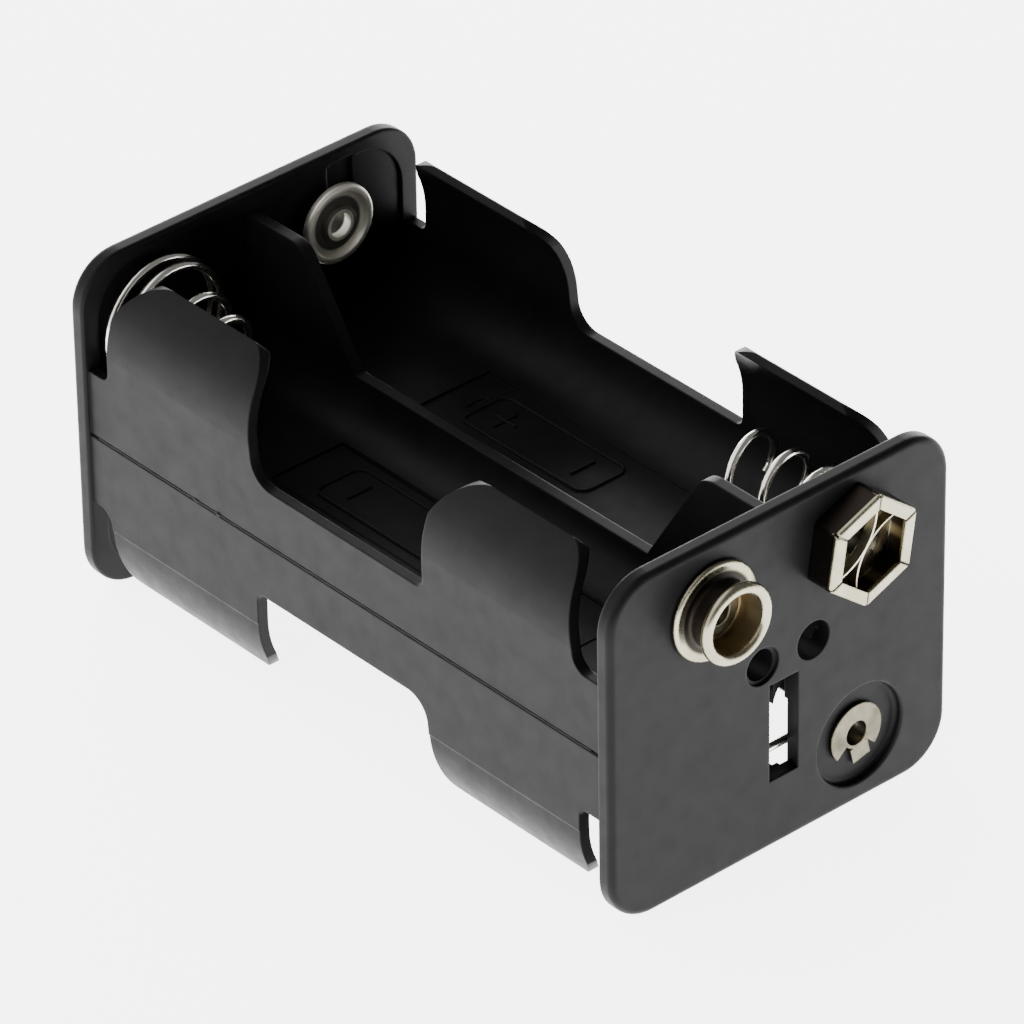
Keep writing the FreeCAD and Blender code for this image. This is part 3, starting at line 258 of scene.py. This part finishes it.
def add_speckle(tree, scale, low, high):
    """The mottling group in a material; gives its value output."""
    node = tree.nodes.new("ShaderNodeGroup")
    node.node_tree = SPECKLE
    node.inputs["Scale"].default_value = scale
    node.inputs["Low"].default_value = low
    node.inputs["High"].default_value = high
    return node.outputs["Value"]


def add_zone(tree, axis, inner, outer, top):
    """The zone group about an axis through a place given from the holder's middle, in millimetres."""
    node = tree.nodes.new("ShaderNodeGroup")
    node.node_tree = ZONE
    node.inputs["Axis"].default_value = from_middle(*axis)
    for name, value in (("Inner", inner[0]), ("Inner Full", inner[1]), ("Outer Full", outer[0]),
                        ("Outer", outer[1]), ("Top Full", top[0]), ("Top", top[1])):
        node.inputs[name].default_value = value * MM
    return node.outputs["Mask"]


def add_grain(tree, shader, scale, strength, rounding):
    """Fine relief over softly rounded edges; rounding is in millimetres."""
    bump = tree.nodes.new("ShaderNodeBump")
    bump.inputs["Strength"].default_value = strength
    bump.inputs["Distance"].default_value = GRAIN_HEIGHT * MM
    tree.links.new(add_speckle(tree, scale, 0.0, 1.0), bump.inputs["Height"])
    edge = tree.nodes.new("ShaderNodeBevel")
    edge.samples = 6
    edge.inputs["Radius"].default_value = rounding * MM
    tree.links.new(edge.outputs["Normal"], bump.inputs["Normal"])
    tree.links.new(bump.outputs["Normal"], shader.inputs["Normal"])


def mix_colours(tree, factor, first, second):
    """A mix of two colours, each a value or an output."""
    mix = tree.nodes.new("ShaderNodeMix")
    mix.data_type = "RGBA"
    for name, colour in (("A", first), ("B", second)):
        if isinstance(colour, tuple):
            mix.inputs[name].default_value = (*colour, 1)
        else:
            tree.links.new(colour, mix.inputs[name])
    tree.links.new(factor, mix.inputs["Factor"])
    return mix.outputs["Result"]


def make_black_plastic():
    """Satin black moulding with a faint mottle and softly rounded edges."""
    material, tree, shader = new_material("black_plastic")
    colour = mix_colours(tree, add_speckle(tree, 260.0, 0.0, 1.0), PLASTIC_DARK, PLASTIC_PALE)
    tree.links.new(colour, shader.inputs["Base Color"])
    tree.links.new(add_speckle(tree, 700.0, 0.38, 0.5), shader.inputs["Roughness"])
    shader.inputs["Specular IOR Level"].default_value = PLASTIC_SPECULAR
    add_grain(tree, shader, 1500.0, 0.12, PLASTIC_ROUNDING)
    return material


def make_nickel(name, bright, warm, low, high, zones=(), relief=0.1, rounding=0.06):
    """Nickel plate whose colour and gloss vary a little, with zones of another colour and roughness where
    they are given; some zones are painted shade.
    """
    material, tree, shader = new_material(name)
    colour = mix_colours(tree, add_speckle(tree, 420.0, 0.0, 1.0), bright, warm)
    gloss = add_speckle(tree, 1100.0, low, high)
    for zone_colour, roughness, axis, inner, outer, top in zones:
        # Each zone mixes in its colour and roughness: painted shade or a plain tone
        mask = add_zone(tree, axis, inner, outer, top)
        colour = mix_colours(tree, mask, colour, zone_colour)
        blend = tree.nodes.new("ShaderNodeMix")
        tree.links.new(mask, blend.inputs["Factor"])
        tree.links.new(gloss, blend.inputs["A"])
        blend.inputs["B"].default_value = roughness
        gloss = blend.outputs["Result"]
    tree.links.new(colour, shader.inputs["Base Color"])
    shader.inputs["Metallic"].default_value = 1.0
    tree.links.new(gloss, shader.inputs["Roughness"])
    add_grain(tree, shader, 900.0, relief, rounding)
    return material


def eyelet_axis(node):
    """The middle of an eyelet's face, from the holder's middle in millimetres."""
    lowest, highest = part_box(node)
    middle = (lowest + highest) / 2
    return highest.x / MM - MIDDLE_X, middle.y / MM, middle.z / MM - MIDDLE_Z


STUD_AXIS = (HALF_LENGTH, -SNAP_OFFSET, SNAP_LIFT)
SOCKET_AXIS = (HALF_LENGTH, SNAP_OFFSET, SNAP_LIFT)
EYELET_AXIS = eyelet_axis("upper_rear_contact")
FROM_CENTRE = (-1, 0)
NO_LIMIT = (9, 10)

# Zones: colour (painted shade under the lips and in the eyelet's dish and hole, plain tones elsewhere),
# roughness, axis, start of the inner and end of the outer radius, upper level
TERMINAL_ZONES = (
    # Painted shade on the stud's neck under its lip
    (UNDER_LIP_PAINTED_SHADE, 0.5, STUD_AXIS, (2.38, 2.42), (2.95, 3.25), (2.1, 2.3)),
    # Brown-gold tone inside the stud's bore
    (BORE_BROWN_GOLD, 0.5, STUD_AXIS, FROM_CENTRE, (2.22, 2.3), (2.2, 2.5)),
    # Painted shade on the socket's outer walls under its lip
    (UNDER_LIP_PAINTED_SHADE, 0.4, SOCKET_AXIS, (3.4, 3.5), NO_LIMIT, (1.95, 2.05)),
    # Brown-gold tone inside the socket
    (BORE_BROWN_GOLD, 0.4, SOCKET_AXIS, FROM_CENTRE, (3.0, 3.3), (1.7, 1.9)),
)
EYELET_ZONES = (
    # Darker tone on the eyelet deeper than about 1.5 mm behind its face
    (CLINCH_DARK_TONE, 0.3, EYELET_AXIS, FROM_CENTRE, NO_LIMIT, (-1.6, -1.3)),
    # Painted shade in the eyelet's dish
    (DISH_PAINTED_SHADE, 0.5, EYELET_AXIS, (1.15, 1.3), (2.0, 2.25), NO_LIMIT),
    # Painted shade inside the eyelet's hole
    (HOLE_PAINTED_SHADE, 0.5, EYELET_AXIS, FROM_CENTRE, (1.0, 1.1), (-0.8, -0.55)),
)

BLACK_PLASTIC = make_black_plastic()
TERMINAL_NICKEL = make_nickel("terminal_nickel", (0.36, 0.335, 0.245), (0.25, 0.23, 0.155), 0.2, 0.32,
                              TERMINAL_ZONES, rounding=0.25)
CLIP_NICKEL = make_nickel("clip_nickel", (0.62, 0.58, 0.47), (0.42, 0.37, 0.27), 0.3, 0.45)
CONTACT_NICKEL = make_nickel("contact_nickel", (0.17, 0.155, 0.11), (0.06, 0.052, 0.036), 0.25, 0.4,
                             relief=1.0, rounding=0.2)
EYELET_NICKEL = make_nickel("eyelet_nickel", (0.97, 0.94, 0.84), (0.88, 0.84, 0.72), 0.42, 0.55,
                            EYELET_ZONES, rounding=0.15)
SPRING_WIRE = make_nickel("spring_wire", (0.84, 0.82, 0.77), (0.76, 0.73, 0.66), 0.14, 0.24)


def start_curve(name, radius, resolution):
    """An empty round curve with closed ends; radius is in millimetres."""
    curve = bpy.data.curves.new(name, "CURVE")
    curve.dimensions = "3D"
    curve.bevel_depth = radius * MM
    curve.bevel_resolution = resolution
    curve.use_fill_caps = True
    return curve


def add_line(curve, places, closed=False):
    """A line of a curve through places; gives its points."""
    line = curve.splines.new("POLY")
    line.use_cyclic_u = closed
    line.points.add(len(places) - 1)
    for point, place in zip(line.points, places):
        point.co = (*place, 1)
    return line.points


def make_piece(curve, material):
    """The curve as drawn, made a mesh that rides the holder."""
    name = curve.name
    drawn = bpy.data.objects.new(name + "_route", curve)
    bpy.context.scene.collection.objects.link(drawn)
    mesh = bpy.data.meshes.new_from_object(drawn.evaluated_get(bpy.context.evaluated_depsgraph_get()))
    mesh.name = name
    bpy.data.objects.remove(drawn)
    bpy.data.curves.remove(curve)
    piece = bpy.data.objects.new(name, mesh)
    bpy.context.scene.collection.objects.link(piece)
    mesh.materials.append(material)
    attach(piece, "root")
    return piece


def blend_up(value, start, width):
    """A smooth ramp: about zero before start, then rising one for one."""
    shifted = value - start
    return 0.5 * (shifted + math.hypot(shifted, width))


def coil_points(first_angle, winding, coil):
    """Points along a conical coil from its base turn to its tip, on its seat."""
    length, open_pitch, closed_turns, taper_turns = coil
    narrowing = closed_turns + taper_turns
    low = WIRE / 2 + FIT_GAP
    opened_at_base = blend_up(0.0, closed_turns, OPENING_TURNS)
    points = []
    step = 0
    while True:
        turns = step / COIL_POINTS_A_TURN
        opened = blend_up(turns, closed_turns, OPENING_TURNS) - opened_at_base
        height = low + CLOSE_PITCH * turns + (open_pitch - CLOSE_PITCH) * opened
        if height > length - WIRE / 2:
            return points
        share = 1 / (1 + (turns / narrowing) ** TAPER_POWER)
        radius = COIL_TIP_RADIUS + (COIL_BASE_RADIUS - COIL_TIP_RADIUS) * share
        angle = first_angle + winding * 2 * math.pi * turns
        points.append(Vector((radius * math.cos(angle), radius * math.sin(angle), height)))
        step += 1


def arc_points(centre, radius, first, last, count, height):
    """Points along an arc that lies flat on the seat."""
    points = []
    for step in range(count + 1):
        angle = first + (last - first) * step / count
        points.append(Vector((centre.x + radius * math.cos(angle),
                              centre.y + radius * math.sin(angle), height)))
    return points


def spring_points(ring, tail_angle, side, winding, coil, inside):
    """One bent wire on its seat, from the coil's axis: ring, straight tail, bend and conical coil."""
    low = WIRE / 2 + FIT_GAP
    angle = math.radians(tail_angle)
    turn = Matrix.Rotation(angle, 3, "Z")
    target = turn.inverted() @ ring
    line_v = target.y + side * RING_RADIUS
    bend = TAIL_BEND_RADIUS
    if inside:
        bend_v = line_v - winding * bend
        bend_u = -math.sqrt((COIL_BASE_RADIUS - bend) ** 2 - bend_v ** 2)
    else:
        bend_v = line_v + winding * bend
        bend_u = math.sqrt((COIL_BASE_RADIUS + bend) ** 2 - bend_v ** 2)
    base_angle = math.atan2(bend_v, bend_u)
    ring_end = side * math.pi / 2
    ring_start = ring_end - side * math.radians(RING_SWEEP)
    path = arc_points(target, RING_RADIUS, ring_start, ring_end, RING_STEPS, low)
    line_direction = math.atan2(line_v - bend_v, 0.0)
    toward_base = base_angle + (0 if inside else math.pi)
    sweep = math.remainder(toward_base - line_direction, 2 * math.pi)
    middle = Vector((bend_u, bend_v, 0))
    path += arc_points(middle, bend, line_direction, line_direction + sweep, BEND_STEPS, low)
    path = [turn @ point for point in path]
    return path + coil_points(base_angle + angle, winding, coil)[1:]


def make_spring(name, y, z, near, ring_y, ring_z, tail_angle, side, winding, inside=False):
    """A smooth spring in the place of its solid."""
    across = -1 if near else 1
    coil = NEAR_COIL if near else FAR_COIL
    if not near:
        y += math.copysign(FAR_COIL_OUT, y)
        z -= math.copysign(FAR_COIL_IN, z)
    ring = Vector((across * (ring_y - y), ring_z - z, 0))
    places = []
    for point in spring_points(ring, tail_angle, side, winding, coil, inside):
        places.append(from_middle(across * (point.z - SEAT_FACE), y + across * point.x, z + point.y))
    curve = start_curve(name + "_wire", WIRE / 2, 5)
    add_line(curve, places)
    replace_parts(make_piece(curve, SPRING_WIRE), name)


def make_ridges(name, lines, radius, beads=()):
    """Fine raised lines of the moulding; beads thicken them at places along X."""
    curve = start_curve(name, radius, 2)
    for line, closed in lines:
        points = add_line(curve, [from_middle(*place) for place in line], closed)
        for point, place in zip(points, line):
            for bead, size in beads:
                point.radius = max(point.radius, size * (1 - abs(place[0] - bead) / BEAD_REACH))
    make_piece(curve, BLACK_PLASTIC)


def rounded_outline(left, right, low, high, corner, z):
    """A rounded rectangle on the floor of a bay."""
    outline = []
    for x, y, first in ((right - corner, high - corner, 0), (left + corner, high - corner, 90),
                        (left + corner, low + corner, 180), (right - corner, low + corner, 270)):
        for step in range(CORNER_STEPS + 1):
            angle = math.radians(first + 90 * step / CORNER_STEPS)
            outline.append((x + corner * math.cos(angle), y + corner * math.sin(angle), z))
    return outline


def make_cell_mark(name, side, plus_end):
    """A plain outline of a cell on a bay's floor, with its two poles marked."""
    z = PANEL_FLOOR + MARK_LIFT
    y = side * MARK_OFFSET
    tip = plus_end * MARK_HALF_LENGTH + MARK_MIDDLE
    tail = -plus_end * MARK_HALF_LENGTH + MARK_MIDDLE
    nub = tip + plus_end * NUB_LENGTH
    plus = tip - plus_end * SIGN_INSET
    minus = tail + plus_end * SIGN_INSET
    front, back = y - NUB_HALF_WIDTH, y + NUB_HALF_WIDTH
    outline = rounded_outline(min(tip, tail), max(tip, tail), y - MARK_HALF_WIDTH, y + MARK_HALF_WIDTH,
                              MARK_CORNER, z)
    lines = [
        (outline, True),
        ([(tip, front, z), (nub, front, z), (nub, back, z), (tip, back, z)], False),
        ([(plus - SIGN_HALF, y, z), (plus + SIGN_HALF, y, z)], False),
        ([(plus, y - SIGN_HALF, z), (plus, y + SIGN_HALF, z)], False),
        ([(minus, y - SIGN_HALF, z), (minus, y + SIGN_HALF, z)], False),
    ]
    make_ridges(name, lines, MARK_RIDGE)


def make_panel_rims():
    """Fine raised edges round the sunk panels of the upper bays."""
    lines = []
    for side in (-1, 1):
        low, high = sorted((side * PANEL_INNER, side * PANEL_OUTER))
        lines.append(([(PANEL_START, low, FLOOR_TOP), (PANEL_END, low, FLOOR_TOP),
                       (PANEL_END, high, FLOOR_TOP), (PANEL_START, high, FLOOR_TOP)], True))
    make_ridges("panel_rims", lines, PANEL_RIM)


def make_parting_flash(name, side, beads=()):
    """Thin, slightly wandering flash along the parting line of a side wall."""
    line = []
    for step in range(FLASH_STEPS + 1):
        x = FLASH_START + FLASH_STEP * step
        wander = FLASH_WANDER * math.sin(x * FLASH_WAVES[0]) * math.sin(x * FLASH_WAVES[1])
        line.append((x, side * FLASH_OUT, wander))
    make_ridges(name, [(line, False)], FLASH_RIDGE, beads)


def dress(node, material):
    """Gives a solid of the frame its material."""
    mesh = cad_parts[node].data
    mesh.materials.clear()
    mesh.materials.append(material)


def make_floor():
    """Pale floor that glows under the object."""
    shape = bmesh.new()
    bmesh.ops.create_grid(shape, x_segments=1, y_segments=1, size=FLOOR_SIZE)
    bmesh.ops.translate(shape, vec=(0, 0, -FLOOR_SINK * MM), verts=shape.verts)
    mesh = bpy.data.meshes.new("floor")
    shape.to_mesh(mesh)
    shape.free()
    floor = bpy.data.objects.new("floor", mesh)
    bpy.context.scene.collection.objects.link(floor)
    material, _, shader = new_material("pale_floor")
    shader.inputs["Base Color"].default_value = (FLOOR_TONE, FLOOR_TONE, FLOOR_TONE, 1)
    shader.inputs["Roughness"].default_value = 0.9
    shader.inputs["Emission Color"].default_value = (1, 1, 1, 1)
    shader.inputs["Emission Strength"].default_value = FLOOR_GLOW
    mesh.materials.append(material)


def add_glow(tree, direction, axis, span, dim, bright):
    """Light that grows from dim to bright as a direction nears an axis."""
    turn = tree.nodes.new("ShaderNodeVectorMath")
    turn.operation = "DOT_PRODUCT"
    turn.inputs[1].default_value = Vector(axis).normalized()
    ramp = tree.nodes.new("ShaderNodeMapRange")
    ramp.interpolation_type = "SMOOTHSTEP"
    ramp.inputs["From Min"].default_value = span[0]
    ramp.inputs["From Max"].default_value = span[1]
    ramp.inputs["To Min"].default_value = dim
    ramp.inputs["To Max"].default_value = bright
    tree.links.new(direction, turn.inputs[0])
    tree.links.new(turn.outputs["Value"], ramp.inputs["Value"])
    return ramp.outputs["Result"]


def make_world():
    """A studio that is dark overhead and behind, with a wide pale wall at the front left."""
    world = bpy.data.worlds.new("studio")
    bpy.context.scene.world = world
    world.use_nodes = True
    tree = world.node_tree
    background = tree.nodes["Background"]
    direction = tree.nodes.new("ShaderNodeTexCoord").outputs["Generated"]
    total = tree.nodes.new("ShaderNodeMath")
    surround = add_glow(tree, direction, (0, 0, -1), HORIZON_RAMP, OVERHEAD_GLOW, HORIZON_GLOW)
    soft_wall = add_glow(tree, direction, SOFT_WALL, SOFT_WALL_RAMP, 0.0, SOFT_WALL_GLOW)
    tree.links.new(surround, total.inputs[0])
    tree.links.new(soft_wall, total.inputs[1])
    tree.links.new(total.outputs["Value"], background.inputs["Strength"])
    background.inputs["Color"].default_value = (1, 1, 1, 1)


def make_backdrop_light():
    """Soft light from behind, which lifts the edges of the far tabs and the plates."""
    light = bpy.data.lights.new("backdrop", "AREA")
    light.shape = "RECTANGLE"
    light.size, light.size_y = BACKDROP_SIZE
    light.energy = BACKDROP_POWER
    lamp = bpy.data.objects.new("backdrop", light)
    lamp.location = BACKDROP_PLACE
    aim = Vector(BACKDROP_AIM) - Vector(BACKDROP_PLACE)
    lamp.rotation_euler = aim.to_track_quat("-Z", "Y").to_euler()
    bpy.context.scene.collection.objects.link(lamp)


def make_camera():
    """The camera at the photograph's viewing angle."""
    camera = bpy.data.objects.new("camera", bpy.data.cameras.new("camera"))
    camera.data.sensor_width = SENSOR_WIDTH
    camera.data.lens = CAMERA_LENS
    camera.data.shift_x, camera.data.shift_y = CAMERA_SHIFT
    camera.data.clip_end = CAMERA_REACH
    camera.location = CAMERA_PLACE
    camera.rotation_euler = [math.radians(angle) for angle in CAMERA_TURN]
    bpy.context.scene.collection.objects.link(camera)
    bpy.context.scene.camera = camera


make_camera()
make_world()
make_floor()
make_backdrop_light()

dress("housing", BLACK_PLASTIC)
dress("stud_terminal", TERMINAL_NICKEL)
dress("socket_terminal", TERMINAL_NICKEL)
dress("socket_clip", CLIP_NICKEL)
dress("upper_rear_contact", EYELET_NICKEL)
for node in ("socket_rivet", "lower_front_contact", "lower_rear_contact", "upper_front_contact"):
    dress(node, CONTACT_NICKEL)

make_spring("upper_rear_spring", CELL_OFFSET, CELL_LIFT, True, SNAP_OFFSET, SNAP_LIFT, 150, 1, 1,
            inside=True)
make_spring("lower_front_spring", -CELL_OFFSET, -CELL_LIFT, True, CONTACT_OFFSET, -CONTACT_LIFT, 180, -1, -1)
make_spring("upper_front_spring", -CELL_OFFSET, CELL_LIFT, False, -CONTACT_OFFSET, -CONTACT_LIFT, -90, 1, 1)
make_spring("lower_rear_spring", CELL_OFFSET, -CELL_LIFT, False, CONTACT_OFFSET, CONTACT_LIFT, 90, 1, 1)

make_panel_rims()
make_cell_mark("front_bay_mark", -1, 1)
make_cell_mark("rear_bay_mark", 1, -1)
make_parting_flash("front_flash", -1, FLASH_BEADS)
make_parting_flash("rear_flash", 1)
